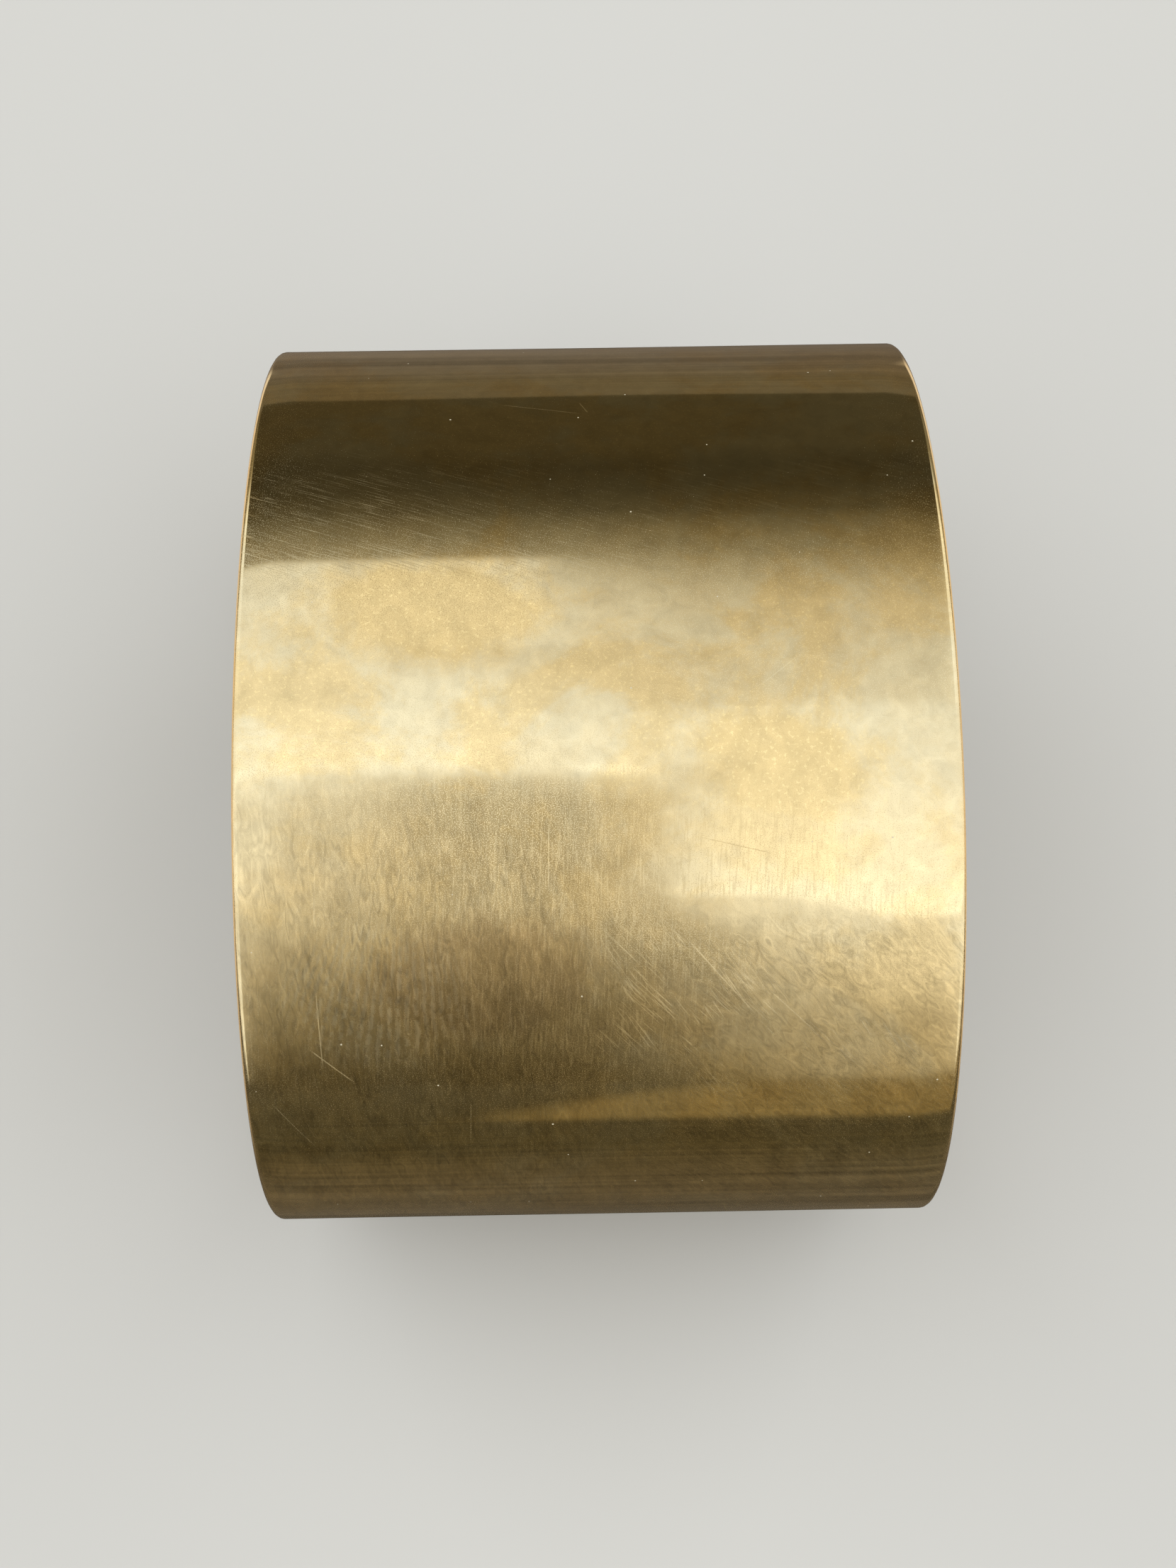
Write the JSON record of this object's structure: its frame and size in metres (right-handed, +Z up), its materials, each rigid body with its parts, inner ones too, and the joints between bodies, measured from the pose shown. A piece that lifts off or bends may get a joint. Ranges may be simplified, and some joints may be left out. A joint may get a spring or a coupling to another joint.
{
  "type": "cuff bracelet",
  "caption": "Wide oval cuff bracelet bent from one strip of brass sheet, open underneath, with rounded corners and softened rims.",
  "frame": {"origin": "on the table, midway between the two ends the cuff stands on, under the middle of its oval", "axes": "+Z up, from the open gap to the top of the oval; +X along the band's axis, from rim to rim; +Y the long way across the oval"},
  "size_m": [0.042, 0.0606, 0.0462],
  "materials": {
    "satin_brass": "polished by hand to a soft satin, with fine random scratches, fingerprints and a light uneven tarnish"
  },
  "bodies": {
    "root": {"cuff_band": "satin_brass"}
  },
  "joints": []
}
